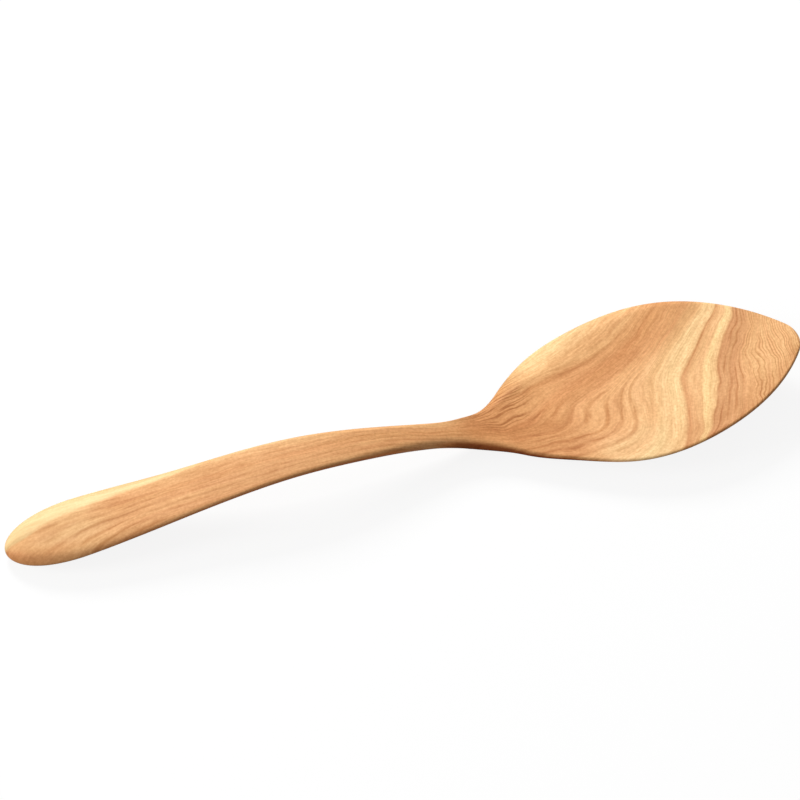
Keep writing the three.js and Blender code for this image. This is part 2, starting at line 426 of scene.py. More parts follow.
@dataclass(frozen=True)
class Stripe:
    """A soft stripe along one growth line.

    Attributes:
        age: Age of the line.
        width: Age from the middle of the stripe to where it has sunk to about a third.
    """

    age: float
    width: float

    def on(self, skin: Readings) -> np.ndarray:
        """Gives a bell, exp(-d^2), with d the distance from the line in widths."""
        return np.exp(-((skin[Reading.AGE] - self.age) / self.width) ** 2)


@dataclass(frozen=True)
class Patch:
    """A patch of the wood with soft edges.

    Attributes:
        parts: What bounds it. The parts multiply.
        strength: Strength where all parts are 1.
    """

    parts: tuple[Rise | Stretch | Stripe, ...]
    strength: float = 1.0

    def on(self, skin: Readings) -> np.ndarray:
        """Gives its strength all over the skin."""
        return self.strength * np.prod([part.on(skin) for part in self.parts], axis=0)


@dataclass(frozen=True)
class Traits:
    """Where the wood is more lined, darker or paler than its age alone makes it, and where shade and light
    are painted on it.

    Attributes:
        faint: Strength of the ring lines where nothing else sets it.
        lines: Patches of strong ring lines.
        handle: The handle, up to where its own strength of ring lines fades out.
        handle_lines: That strength.
        curl: What the near half of the grip adds to it.
        painted_light_lines: What the painted highlight along the far edge takes off it.
        strokes: Short dark strokes at the root of the blade.
        dark: Patches that make the wood darker, painted shade among them.
        near: The near side, which gets painted shade, with less of it at the end of the grip.
        waist: Where the neck has less of that painted shade as well.
        flank: What counts as the near side, by depth, for the painted shade.
        under: The underside, which gets painted shade too.
        under_least: Share of the underside's painted shade that its far half has too.
        heel: Painted shade on the near side of the neck and the heel.
        painted_light: Painted highlight along the far edge of the grip.
        glare: What the brightly lit far edge takes off it.
        pale: Other patches of painted light, with a paler belt of the wood on the near belly.
        lean: Slope of the leaning line in the dish.
        lean_from: Where that line has no height.
        painted_light_border: Height of the painted highlight's border.
        painted_light_slope: What that border rises by for each millimetre.
        painted_light_bend: Where that slope starts.
    """

    faint: float = 0.25
    lines: tuple[Patch, ...] = (
        # Hooked rings in the near half of the dish
        Patch((Rise(Reading.AGE, 3.0, 9.0), Rise(Reading.AGE, 29.0, 24.0),
               Rise(Reading.LENGTH, 176.0, 200.0), Rise(Reading.LEAN, 2.0, 9.0, 1.0, 0.4),
               Rise(Reading.ACROSS, -2.0, -10.0, 0.7, 1.0))),
        # The dark line between the two pale belts
        Patch((Stripe(38.4, 1.4), Rise(Reading.ACROSS, -6.0, 4.0))),
        # All the wood near the tip
        Patch((Rise(Reading.AGE, 46.5, 47.8),), 0.95),
    )
    handle: Patch = Patch((Rise(Reading.LENGTH, 186.0, 168.0),))
    handle_lines: float = 0.45
    curl: Patch = Patch((Stretch(6.0, 16.0, 48.0, 70.0), Rise(Reading.SHARE, 0.15, -0.25)), 0.45)
    painted_light_lines: float = 0.4
    strokes: Patch = Patch((Stretch(170.0, 182.0, 192.0, 206.0), Rise(Reading.ACROSS, -7.0, 1.0)))
    dark: tuple[Patch, ...] = (
        # Root of the blade
        Patch((Stretch(164.0, 177.0, 184.0, 200.0), Rise(Reading.ACROSS, 2.0, 8.0, 0.7, 1.0))),
        # Smudge along one growth line
        Patch((Stripe(4.8, 1.2), Stretch(192.0, 202.0, 222.0, 240.0))),
        # Near half of the dish by the heel
        Patch((Stretch(180.0, 190.0, 204.0, 222.0), Rise(Reading.SHARE, -0.05, -0.4)), 0.95),
        # Far part of the dish, where the lines fan out
        Patch((Rise(Reading.ACROSS, 9.0, 18.0), Rise(Reading.AGE, 12.0, 18.0),
               Rise(Reading.AGE, 32.0, 26.0)), 0.75),
        # Far shoulder, where the rim rises out of the neck
        Patch((Stretch(166.0, 178.0, 192.0, 206.0), Rise(Reading.SHARE, 0.2, 0.7)), 0.95),
        # Near rim of the blade: painted shade, a soft belt and a thin dark line along the edge
        Patch((Rise(Reading.LENGTH, 222.0, 240.0), Rise(Reading.SHARE, -0.5, -0.8)), 0.5),
        Patch((Rise(Reading.LENGTH, 222.0, 240.0), Rise(Reading.NEAR_RIM, 2.4, 0.4))),
        # Near half of the handle: painted shade
        Patch((Stretch(20.0, 50.0, 140.0, 168.0), Rise(Reading.SHARE, -0.1, -0.6)), 0.75),
    )
    # Painted shade on the near side and on the underside
    near: Patch = Patch((Rise(Reading.SHARE, -0.2, -0.7), Rise(Reading.LENGTH, 16.0, 70.0, 0.25, 1.0)))
    waist: Patch = Patch((Stretch(140.0, 150.0, 157.0, 166.0),), 0.7)
    flank: Patch = Patch((Rise(Reading.DEPTH, 0.2, 1.8),))
    under: Patch = Patch((Rise(Reading.BELOW, 0.0, 1.5),))
    under_least: float = 0.2
    # Painted shade on the near side of the neck and the heel
    heel: Patch = Patch((Stretch(156.0, 170.0, 206.0, 228.0), Rise(Reading.DEPTH, 0.4, 1.6),
                         Rise(Reading.DEPTH, 3.0, 5.5, 1.0, 0.3)))
    # Painted highlight along the far edge of the grip, weaker where the lamps already light that edge
    # brightly
    painted_light: Patch = Patch((Rise(Reading.LENGTH, 84.0, 56.0), Rise(Reading.PAINTED_LIGHT, -1.1, 0.9)))
    glare: Patch = Patch((Rise(Reading.LENGTH, 14.0, 34.0, 0.45, 0.75), Rise(Reading.SHARE, 0.55, 0.9)))
    pale: tuple[Patch, ...] = (
        # End of the grip, all but its near edge: painted light
        Patch((Rise(Reading.LENGTH, 50.0, 24.0), Rise(Reading.SHARE, -0.95, -0.4)), 0.4),
        # The whole handle: painted light
        Patch((Rise(Reading.LENGTH, 176.0, 166.0),), 0.1),
        # Near belly of the blade: painted light, with a paler belt of the wood
        Patch((Stretch(212.0, 222.0, 236.0, 246.0), Rise(Reading.ACROSS, -14.0, -22.0)), 0.14),
    )
    lean: float = 0.1
    lean_from: float = 215.0
    painted_light_border: Rise = Rise(Reading.LENGTH, 4.0, 24.0, -2.3, 3.5)
    painted_light_slope: float = 0.055
    painted_light_bend: float = 20.0

    def spread(self, skin: Readings) -> dict[str, np.ndarray]:
        """Works the traits out all over the skin.

        Args:
            skin: The readings at every vertex, apart from LEAN and PAINTED_LIGHT, which are worked out
                here.

        Returns:
            By name, from 0 to 1: how strong the ring lines are, how stroked the root of the blade is, how
            dark the patches make the wood, how much painted shade the near side and the underside get, how
            much more of it the near side of the neck and the heel gets, and how much light is painted on.
            Where patches overlap, the strongest one counts.
        """
        x, y = skin[Reading.LENGTH], skin[Reading.ACROSS]
        border = self.painted_light_border.on(skin) + self.painted_light_slope * np.maximum(x, self.painted_light_bend)
        skin = {**skin, Reading.LEAN: y - self.lean * (x - self.lean_from), Reading.PAINTED_LIGHT: y - border}
        painted_light = self.painted_light.on(skin)
        # Where shade is painted on the near side and the underside
        near = self.near.on(skin) * (1.0 - self.waist.on(skin))
        under = self.under.on(skin) * (self.under_least + (1.0 - self.under_least) * near)
        handle = self.handle.on(skin) * (self.handle_lines + self.curl.on(skin) - self.painted_light_lines * painted_light)
        lines = [patch.on(skin) for patch in self.lines]
        pale = [patch.on(skin) for patch in self.pale]
        return {
            "rings": np.maximum.reduce([np.full_like(x, self.faint), handle, *lines]),
            "root": self.strokes.on(skin),
            "darkening_and_shade": np.maximum.reduce([patch.on(skin) for patch in self.dark]),
            # Painted shade on the near side and the underside
            "side": np.maximum(under, self.flank.on(skin) * near),
            # More painted shade on the near side of the neck and the heel
            "end": self.heel.on(skin) * near,
            # Painted light: the highlight along the far edge of the grip, and the other pale patches
            "painted_light": np.maximum.reduce([painted_light * (1.0 - self.glare.on(skin)), *pale]),
        }


@dataclass(frozen=True)
class Recipe:
    """A material's shader nodes, added one at a time.

    Attributes:
        tree: The node tree that they go into.
    """

    tree: bpy.types.NodeTree

    def add(self, kind: str, inputs: dict[str | int, object] | None = None,
            **settings: object) -> bpy.types.Node:
        """Adds one node.

        Args:
            kind: Blender's name for the node's type.
            inputs: What each input takes, by name or number: an output socket to link, or a value.
            **settings: Properties of the node itself.

        Returns:
            The new node.
        """
        node = self.tree.nodes.new(kind)
        for name, value in settings.items():
            setattr(node, name, value)
        for name, value in (inputs or {}).items():
            if isinstance(value, Socket):
                self.tree.links.new(value, node.inputs[name])
            else:
                node.inputs[name].default_value = value
        return node

    def attribute(self, name: str) -> Socket:
        """Reads one of the mesh's own attributes."""
        return self.add("ShaderNodeAttribute", attribute_name=name).outputs["Fac"]

    def maths(self, operation: str, *values: Socket | float) -> Socket:
        """Works one sum out, such as MULTIPLY in Blender's words, of sockets or numbers in order."""
        return self.add("ShaderNodeMath", dict(enumerate(values)), operation=operation).outputs[0]

    def ranged(self, value: Socket, low: float, high: float, to_low: float = 0.0,
               to_high: float = 1.0) -> Socket:
        """Moves a value from one range to another along a smooth step.

        Args:
            value: The socket that is read.
            low: Start of the range that is read.
            high: End of the range that is read.
            to_low: What low becomes.
            to_high: What high becomes.

        Returns:
            The socket with the result.
        """
        inputs = {"Value": value, "From Min": low, "From Max": high, "To Min": to_low, "To Max": to_high}
        node = self.add("ShaderNodeMapRange", inputs, interpolation_type="SMOOTHSTEP")
        return node.outputs["Result"]

    def vector(self, x: Socket, y: Socket, z: Socket) -> Socket:
        """Joins three values into one vector."""
        return self.add("ShaderNodeCombineXYZ", {0: x, 1: y, 2: z}).outputs[0]

    def noise(self, at: Socket, scale: float, detail: float = 2.0, roughness: float = 0.5) -> Socket:
        """Draws cloudy noise.

        Args:
            at: The vector that it is read at.
            scale: Clouds for each unit of that vector.
            detail: How many finer layers it has.
            roughness: How strong each finer layer is.

        Returns:
            The socket with the noise, from 0 to 1 with its middle at 0.5.
        """
        inputs = {"Vector": at, "Scale": scale, "Detail": detail, "Roughness": roughness}
        return self.add("ShaderNodeTexNoise", inputs).outputs["Fac"]

    def ramp(self, value: Socket, stops: Sequence[tuple[float, Colour]]) -> Socket:
        """Turns a value into a colour.

        Args:
            value: The socket that is read, from 0 to 1.
            stops: Places from 0 to 1 with their colours.

        Returns:
            The socket with the colour.
        """
        node = self.add("ShaderNodeValToRGB", {"Fac": value})
        stripes = node.color_ramp.elements
        while len(stripes) < len(stops):
            stripes.new(0.5)
        for stripe, (place, colour) in zip(stripes, stops):
            stripe.position = place
            stripe.color = (*colour, 1.0)
        return node.outputs["Color"]

    def multiply(self, amount: Socket | float, colour: Socket, tone: Socket | Colour) -> Socket:
        """Multiplies a colour by a tone.

        Args:
            amount: How much of the tone counts, from 0 to 1.
            colour: The colour.
            tone: The tone.

        Returns:
            The socket with the new colour.
        """
        node = self.add("ShaderNodeMix", data_type="RGBA", blend_type="MULTIPLY")
        # The node has a pair of inputs A and B for each type of data, and the colours are numbers 6 and 7
        share, first, second = node.inputs["Factor"], node.inputs[6], node.inputs[7]
        self.tree.links.new(colour, first)
        if isinstance(amount, Socket):
            self.tree.links.new(amount, share)
        else:
            share.default_value = amount
        if isinstance(tone, Socket):
            self.tree.links.new(tone, second)
        else:
            second.default_value = (*tone, 1.0)
        return node.outputs[2]


@dataclass(frozen=True)
class Streak:
    """Noise that is stretched along the growth lines.

    Attributes:
        across: Clouds for each unit of age.
        lengthwise: Clouds for each millimetre of the board.
        detail: How many finer layers it has.
        roughness: How strong each finer layer is.
    """

    across: float
    lengthwise: float
    detail: float = 2.0
    roughness: float = 0.5

    def draw(self, sketch: Recipe, age: Socket, x: Socket, y: Socket) -> Socket:
        """Draws the noise.

        Args:
            sketch: The material's nodes.
            age: Age of the wood.
            x: Place along the board.
            y: Place across it.

        Returns:
            The socket with the noise, read at the age and the place, each times its scale.
        """
        scales = ((age, self.across), (x, self.lengthwise), (y, self.lengthwise))
        at = sketch.vector(*(sketch.maths("MULTIPLY", value, scale) for value, scale in scales))
        return sketch.noise(at, 1.0, self.detail, self.roughness)


@dataclass(frozen=True)
class OiledWood:
    """Figured orange-tan wood under a thin satin coat of oil.

    Attributes:
        bands: Ages, rising, with the colour that the wood has there. The pale colour of the youngest two is
            partly painted highlight.
        sway: Clouds for each millimetre in the slow sway of the growth lines.
        wave: The same in their quicker waves.
        crinkled: Ages between which the waves grow to those of the wood near the tip.
        crinkle: Breadth of the waves, in age, before and after that.
        ring: Age between two ring lines.
        ring_edge: Age from the middle of a ring line to its edge.
        breaks: Noise that a ring line breaks off by.
        break_range: Noise between which it comes back.
        break_least: What is left of it where it breaks off.
        strokes: Noise that the short strokes at the root of the blade are made of.
        stroke_range: Noise between which a stroke becomes full.
        veins: Broad streaks.
        fibre: Fine streaks, which also make the relief and the gloss uneven.
        flecks: Short fine streaks.
        mottle: Clouds for each millimetre in large stains.
        pores: The same in fine grain.
        strengths: How strong the veins, the fibre, the flecks, the mottle and the pores are.
        streak_range: Noise between which a streak goes from dark to pale.
        streak_dark: What a dark streak takes off the red, green and blue.
        streak_pale: What a pale one adds to them.
        painted_light_calm: Share of all streaks that the painted highlight goes without.
        drift: Broad streaks of another hue.
        drift_range: Noise between which the hue changes.
        pink: Colour that multiplies the wood where its hue drifts to the red.
        straw: The same where it drifts to the yellow.
        line: Colour that multiplies the wood in a ring line.
        stroke: Colour that multiplies the wood in a stroke.
        darkening_and_shade: Colour that multiplies the darker patches, painted shade among them.
        side: Painted shade: a warm brown that multiplies the wood of the near side and of the underside.
        painted_light: Painted light: a pale colour that multiplies the wood.
        painted_heel_shade: Painted shade that multiplies the wood on the near side of the neck and the
            heel.
        relief: Strength of the fine relief.
        relief_height: Height of a fibre.
        ring_relief: What a ring line adds to the relief.
        fibre_range: Noise between which the gloss changes.
        roughness: Roughness between the fibres and on them.
        specular: Strength of the reflections.
    """

    bands: tuple[tuple[float, Colour], ...] = (
        # The two youngest bands lie along the far shoulder of the blade, and their pale colour is partly
        # painted highlight
        (-10.0, tint(242, 208, 150)),
        (-4.0, tint(242, 200, 142)),
        (0.5, tint(238, 182, 123)),
        (3.0, tint(238, 181, 123)),
        (6.0, tint(233, 171, 113)),
        (8.0, tint(228, 164, 107)),
        (10.0, tint(220, 154, 97)),
        (14.0, tint(228, 165, 108)),
        (17.0, tint(236, 176, 119)),
        (23.0, tint(237, 178, 122)),
        (26.0, tint(245, 193, 136)),
        (29.5, tint(245, 193, 135)),
        (32.0, tint(252, 210, 152)),
        (37.4, tint(251, 208, 150)),
        (38.6, tint(230, 170, 115)),
        (40.0, tint(240, 185, 129)),
        (43.0, tint(242, 190, 133)),
        (44.2, tint(252, 212, 151)),
        (46.0, tint(251, 210, 150)),
        (47.3, tint(243, 194, 136)),
        (48.2, tint(221, 161, 109)),
        (55.0, tint(227, 167, 114)),
        (60.0, tint(238, 182, 125)),
        (104.0, tint(244, 189, 131)),
    )
    sway: float = 0.03
    wave: float = 0.16
    crinkled: Pair = (54.0, 66.0)
    crinkle: Pair = (0.5, 7.0)
    ring: float = 2.4
    ring_edge: float = 0.85
    breaks: Streak = Streak(0.5, 0.075, 1.5)
    break_range: Pair = (0.36, 0.58)
    break_least: float = 0.1
    strokes: Streak = Streak(2.2, 0.07, 1.0)
    stroke_range: Pair = (0.47, 0.62)
    veins: Streak = Streak(0.55, 0.015)
    fibre: Streak = Streak(2.0, 0.13, 2.0, 0.55)
    flecks: Streak = Streak(2.6, 0.24, 1.0)
    mottle: float = 0.06
    pores: float = 1.0
    strengths: tuple[float, ...] = (1.0, 0.9, 0.8, 0.6, 1.15)
    streak_range: Pair = (0.3, 0.7)
    streak_dark: Colour = (0.07, 0.10, 0.13)
    streak_pale: Colour = (0.05, 0.07, 0.09)
    painted_light_calm: float = 0.6
    drift: Streak = Streak(0.3, 0.03)
    drift_range: Pair = (0.35, 0.65)
    pink: Colour = (1.0, 0.985, 0.985)
    straw: Colour = (1.0, 1.03, 1.025)
    line: Colour = (0.75, 0.63, 0.51)
    stroke: Colour = (0.66, 0.53, 0.42)
    # Darker patches, painted shade among them
    darkening_and_shade: Colour = (0.80, 0.70, 0.61)
    # Painted shade on the near side and the underside
    side: Colour = (0.94, 0.6, 0.38)
    # Painted light
    painted_light: Colour = (1.0, 1.46, 1.8)
    # Painted shade on the near side of the neck and the heel
    painted_heel_shade: Colour = (0.42, 0.33, 0.24)
    relief: float = 0.2
    relief_height: float = 0.2
    ring_relief: float = -0.3
    fibre_range: Pair = (0.2, 0.8)
    roughness: Pair = (0.66, 0.54)
    specular: float = 0.2

    def bent(self, sketch: Recipe, age: Socket, place: Socket) -> Socket:
        """Bends the growth lines a little, so that none of them is too smooth.

        Args:
            sketch: The material's nodes.
            age: Age of the wood.
            place: Place on the board.

        Returns:
            The age plus a slow sway of up to 1 and waves, which are strongest near the tip.
        """
        sway = sketch.maths("MULTIPLY_ADD", sketch.noise(place, self.sway, 1.0), 2.0, -1.0)
        wave = sketch.maths("SUBTRACT", sketch.noise(place, self.wave, 1.0), 0.5)
        crinkle = sketch.ranged(age, *self.crinkled, *self.crinkle)
        return sketch.maths("ADD", age, sketch.maths("MULTIPLY_ADD", wave, crinkle, sway))

    def banded(self, sketch: Recipe, age: Socket) -> Socket:
        """Gives the wood the colours of its bands.

        Args:
            sketch: The material's nodes.
            age: Age of the wood.

        Returns:
            The socket with the colour.
        """
        youngest = self.bands[0][0]
        span = self.bands[-1][0] - youngest
        share = sketch.maths("DIVIDE", sketch.maths("SUBTRACT", age, youngest), span)
        return sketch.ramp(share, [((at - youngest) / span, colour) for at, colour in self.bands])

    def material(self) -> bpy.types.Material:
        """Makes the material. Its nodes read the skin's own attributes and Object coordinates.

        Returns:
            The finished material.
        """
        wood = bpy.data.materials.new("oiled_wood")
        wood.use_nodes = True
        wood.node_tree.nodes.clear()
        sketch = Recipe(wood.node_tree)
        # Reads the age, ring lines, strokes, darker patches, painted shade of the near side and underside,
        # painted light, and painted shade at the heel
        names = ("age", "rings", "root", "darkening_and_shade", "side", "painted_light", "end")
        age, rings, root, darkening_and_shade, side, painted_light, end = (sketch.attribute(name) for name in names)
        metres = sketch.add("ShaderNodeTexCoord").outputs["Object"]
        scaled = sketch.add("ShaderNodeVectorMath", {0: metres, 1: (METRE,) * 3}, operation="MULTIPLY")
        place = scaled.outputs[0]
        x, y, _ = sketch.add("ShaderNodeSeparateXYZ", {0: place}).outputs
        bent = self.bent(sketch, age, place)

        def along(streak: Streak) -> Socket:
            """Draws one kind of streak."""
            return streak.draw(sketch, bent, x, y)

        # Bands of colour, with streaks and a drift of the hue
        colour = self.banded(sketch, bent)
        fibre = along(self.fibre)
        noises = (along(self.veins), fibre, along(self.flecks),
                  sketch.noise(place, self.mottle), sketch.noise(place, self.pores))
        # Streaks are weaker under the painted highlight
        even = sketch.maths("MULTIPLY_ADD", painted_light, -self.painted_light_calm, 1.0)
        for noise, strength in zip(noises, self.strengths):
            dark = tuple(1.0 - strength * part for part in self.streak_dark)
            pale = tuple(1.0 + strength * part for part in self.streak_pale)
            tone = sketch.ramp(sketch.ranged(noise, *self.streak_range), ((0.0, dark), (1.0, pale)))
            colour = sketch.multiply(even, colour, tone)
        drift = sketch.ranged(along(self.drift), *self.drift_range)
        colour = sketch.multiply(1.0, colour, sketch.ramp(drift, ((0.0, self.pink), (1.0, self.straw))))

        # Ring lines, strokes, the darker patches, and the painted shade and light
        ring = sketch.ranged(sketch.maths("PINGPONG", bent, self.ring / 2.0), 0.0, self.ring_edge, 1.0, 0.0)
        whole = sketch.ranged(along(self.breaks), *self.break_range, self.break_least, 1.0)
        ring = sketch.maths("MULTIPLY", sketch.maths("MULTIPLY", ring, whole), rings)
        stroke = sketch.maths("MULTIPLY", sketch.ranged(along(self.strokes), *self.stroke_range), root)
        tones = ((ring, self.line), (stroke, self.stroke), (darkening_and_shade, self.darkening_and_shade), (side, self.side),
                 (painted_light, self.painted_light), (end, self.painted_heel_shade))
        for amount, tone in tones:
            colour = sketch.multiply(amount, colour, tone)

        # Fine relief and gloss
        height = sketch.maths("MULTIPLY_ADD", ring, self.ring_relief, fibre)
        relief = sketch.add("ShaderNodeBump", {
            "Strength": self.relief, "Distance": self.relief_height / METRE, "Height": height})
        gloss = sketch.ranged(fibre, *self.fibre_range, *self.roughness)
        shader = sketch.add("ShaderNodeBsdfPrincipled", {
            "Base Color": colour, "Roughness": gloss, "Normal": relief.outputs[0],
            "Specular IOR Level": self.specular})
        sketch.add("ShaderNodeOutputMaterial", {"Surface": shader.outputs[0]})
        return wood


@dataclass
class Spatula:
    """The whole spatula: one piece of wood, lofted through named sections.

    Attributes:
        handle: End of the handle to the narrowest place of the neck.
        blade: Narrowest place of the neck to the tip.
        on_handle: Named places on the handle, as shares of its length.
        on_blade: Named places on the blade, as shares of its length.
        blade_width: Widest part of the blade.
        widest_share: Share of the blade's length from the neck to its widest place.
        shoulder_fillet: Radius of the hollow curve between neck and blade.
        flare_angle: Degrees that each side has opened by where the fillet starts.
        tip_radius: Radius of the tip seen from above.
        butt_round: Length over which the end of the handle thins to nothing.
        nose_round: The same at the tip.
        edge_power: Fullness of a rounded edge: 2 makes a true ellipse, 1 a flat bevel.
        bevel_power: The same for the far edge of the top face.
        belly_power: The same for the underside.
        edge_limit: Most of the half width that one edge may take.
        least_half: Least half width that shares of it are worked out with.
        measures: What the wood measures at the named places.
        figure: The growth lines of the board.
        traits: Where its wood is lined, dark or pale, and where shade and light are painted on it.
        finish: The finish of the wood.
        butt_steps: Steps of the mesh along the round end of the handle.
        body_steps: Steps along the body.
        nose_steps: Steps along the last stretch to the tip.
        nose_length: Length of that stretch.
        edge_steps: Steps over one rounded edge.
        face_steps: Steps across one face.
    """

    handle: float = 158.0
    blade: float = 146.0
    on_handle: Stated = stated(butt=0.0, grip=0.174, palm=0.392, arch=0.684, wrist=0.835, neck=1.0)
    on_blade: Stated = stated(
        flare=0.086, root=0.151, heel=0.212, sole=0.329, bowl=0.459, sweep=0.699, tip=1.0)
    blade_width: float = 72.0
    widest_share: float = 0.579
    shoulder_fillet: float = 45.5
    flare_angle: float = 13.5
    tip_radius: float = 12.0
    butt_round: float = 15.0
    nose_round: float = 1.6
    edge_power: float = 2.3
    bevel_power: float = 1.3
    belly_power: float = 1.5
    edge_limit: float = 0.94
    least_half: float = 1.0
    measures: Measures = field(default_factory=Measures)
    figure: Figure = field(default_factory=Figure)
    traits: Traits = field(default_factory=Traits)
    finish: OiledWood = field(default_factory=OiledWood)
    butt_steps: int = 36
    body_steps: int = 420
    nose_steps: int = 40
    nose_length: float = 14.0
    edge_steps: int = 10
    face_steps: int = 62

    @property
    def tip(self) -> float:
        """Gives the overall length."""
        return self.handle + self.blade

    def at(self, name: str) -> float:
        """Gives a named place along the length."""
        share = self.on_handle.get(name)
        return self.handle + self.on_blade[name] * self.blade if share is None else share * self.handle

    def through(self, sizes: Stated, start_slope: float | None = None,
                end_slope: float | None = None) -> FairCurve:
        """Fairs one measure between the places that it is stated at.

        Args:
            sizes: The measure's sizes by the names of their places.
            start_slope: Slope at the first place, or None to leave it free.
            end_slope: Slope at the last place, or None to leave it free.

        Returns:
            The fair curve.
        """
        return FairCurve([self.at(name) for name in sizes], list(sizes.values()), start_slope, end_slope)

    def half_width(self, x: np.ndarray) -> np.ndarray:
        """Gives half the width along the length.

        Args:
            x: Places along the length.

        Returns:
            Half an ellipse at the end of the handle, a fair curve along it, and four arcs that touch
            each other on the blade: the hollow fillet, the long curves behind and ahead of the widest
            place, and the tip.
        """
        opening = math.radians(self.flare_angle)
        width = self.measures.width
        side = self.through(width, 0.0, 2.0 * math.tan(opening))
        widest = self.handle + self.widest_share * self.blade
        half = self.blade_width / 2.0
        fillet = self.shoulder_fillet
        # The arc behind the widest place has the radius with which it touches the fillet
        fillet_x = self.at("flare") - fillet * math.sin(opening)
        fillet_y = width["flare"] / 2.0 + fillet * math.cos(opening)
        ahead, above = widest - fillet_x, fillet_y - half
        back = (ahead ** 2 + above ** 2 - fillet ** 2) / (2.0 * (fillet - above))
        fillet_end = fillet_x + ahead * fillet / (fillet + back)
        # The arc ahead of it has the radius with which it touches the round of the tip
        nose = self.tip_radius
        nose_x = self.tip - nose
        reach = nose_x - widest
        front = (reach ** 2 + half ** 2 - nose ** 2) / (2.0 * (half - nose))
        nose_start = nose_x + nose * reach / (front - nose)

        def arc(radius: float, middle: float) -> np.ndarray:
            """Gives the height of a circle above its middle."""
            return np.sqrt(np.maximum(radius ** 2 - (x - middle) ** 2, 0.0))

        ends = [x < self.at("grip"), x < self.at("flare"), x < fillet_end, x < widest, x < nose_start]
        shapes = [
            width["grip"] / 2.0 * rounded(x / self.at("grip"), ELLIPSE),
            side(x) / 2.0,
            fillet_y - arc(fillet, fillet_x),
            half - back + arc(back, widest),
            half - front + arc(front, widest),
        ]
        return np.select(ends, shapes, arc(nose, nose_x))

    def places(self) -> np.ndarray:
        """Gives the places of the rings, closer together towards both ends.

        Returns:
            A quarter of a cosine over the butt, even steps on the body, a quarter of a sine to the tip.
        """
        grip = self.at("grip")
        nose = self.tip - self.nose_length
        butt = grip * (1.0 - np.cos(np.linspace(0.0, math.pi / 2.0, self.butt_steps, endpoint=False)))
        body = np.linspace(grip, nose, self.body_steps, endpoint=False)
        end = nose + self.nose_length * np.sin(np.linspace(0.0, math.pi / 2.0, self.nose_steps + 1))
        return np.concatenate([butt, body, end])

    def across(self, half: np.ndarray, far: np.ndarray, near: np.ndarray,
               powers: Pair) -> tuple[np.ndarray, np.ndarray]:
        """Lays one face of every section out from its far edge to its near edge.

        Args:
            half: Half width of each section.
            far: Width of its rounded far edge.
            near: Width of its rounded near edge.
            powers: Fullness of the far and of the near edge.

        Returns:
            Each point's place across, and the share of the half thickness that it stands out by: a
            superellipse over the edges and 1 between them.
        """
        half = half[:, None]
        far = np.minimum(far[:, None], self.edge_limit * half)
        near = np.minimum(near[:, None], self.edge_limit * half)
        inset = 1.0 - np.cos(np.linspace(0.0, math.pi / 2.0, self.edge_steps, endpoint=False))[None, :]
        way = np.linspace(0.0, 1.0, self.face_steps + 1)[None, :]
        middle = (half - far) * (1.0 - way) + (near - half) * way
        y = np.hstack([half - far * inset, middle, near * inset[:, ::-1] - half])
        out = np.hstack([rounded(inset, powers[0]), np.ones_like(way), rounded(inset, powers[1])[:, ::-1]])
        return y, np.broadcast_to(out, y.shape)

    def rings(self) -> tuple[np.ndarray, np.ndarray, np.ndarray]:
        """Works out every ring of points round the wood.

        Returns:
            The points, ring by ring along the length and round each ring over the top from the far
            edge and back underneath, the depth of each point below the top face straight above, and
            its depth below the rim.
        """
        x = self.places()
        half = self.half_width(x)
        sizes = self.measures
        clear = self.through(sizes.clear)(x)[:, None]
        level = (sizes.sway, sizes.thick, sizes.near_thin, sizes.far_thin, sizes.near_lift, sizes.far_lift,
                 sizes.near_drop, sizes.far_drop)
        sway, thick, near_thin, far_thin, near_lift, far_lift, near_drop, far_drop = (
            self.through(size, 0.0)(x)[:, None] for size in level)
        near_edge, far_edge, under_edge = (
            self.through(size, 0.0, 0.0)(x) for size in (sizes.near_edge, sizes.far_edge, sizes.under_edge))
        butt_end = rounded(x / self.butt_round, self.edge_power)
        nose_end = rounded((self.tip - x) / self.nose_round, self.edge_power)
        ends = (butt_end * nose_end)[:, None]

        def face(side: Face, far: np.ndarray, near: np.ndarray, powers: Pair) -> tuple[np.ndarray, ...]:
            """Works one face of every section out.

            The top face is the gap to the table, the thickness, and a lift times the square of the share
            of the half width. The wood below it gets thinner by the same square. The rim line lies below
            the top face by a drop that changes evenly from one side to the other, and both faces round
            off towards that line. The table cuts the lowest wood flat.

            Args:
                side: Which face it is.
                far: Width of its rounded far edge.
                near: Width of its rounded near edge.
                powers: Fullness of the far and of the near edge.

            Returns:
                Places across, heights, depths below the top face and depths below the rim.
            """
            y, out = self.across(half, far, near, powers)
            share = y / np.maximum(half, TINY)[:, None]
            body = thick - np.where(y > 0.0, far_thin, near_thin) * share ** 2
            top = clear + thick + np.where(y > 0.0, far_lift, near_lift) * share ** 2
            rim = (far_drop + near_drop) / 2.0 + (far_drop - near_drop) / 2.0 * share
            depth = rim - out * ends * np.where(side is Face.TOP, rim, rim - body)
            return y + sway, np.maximum(top - depth, 0.0), depth, np.maximum(depth - rim, 0.0)

        top = face(Face.TOP, far_edge, near_edge, (self.bevel_power, self.edge_power))
        under = face(Face.UNDER, under_edge, under_edge, (self.belly_power, self.belly_power))
        y, z, depth, below = (np.hstack([over, back[:, -2:0:-1]]) for over, back in zip(top, under))
        return np.stack([np.broadcast_to(x[:, None], y.shape), y, z], axis=2), depth, below

    def flatten(self, rings: np.ndarray) -> np.ndarray:
        """Lists what the rings hold in the order of the vertices, with one vertex at either end."""
        return np.concatenate([rings[0, :1], rings[1:-1].reshape(-1, *rings.shape[2:]), rings[-1, :1]])

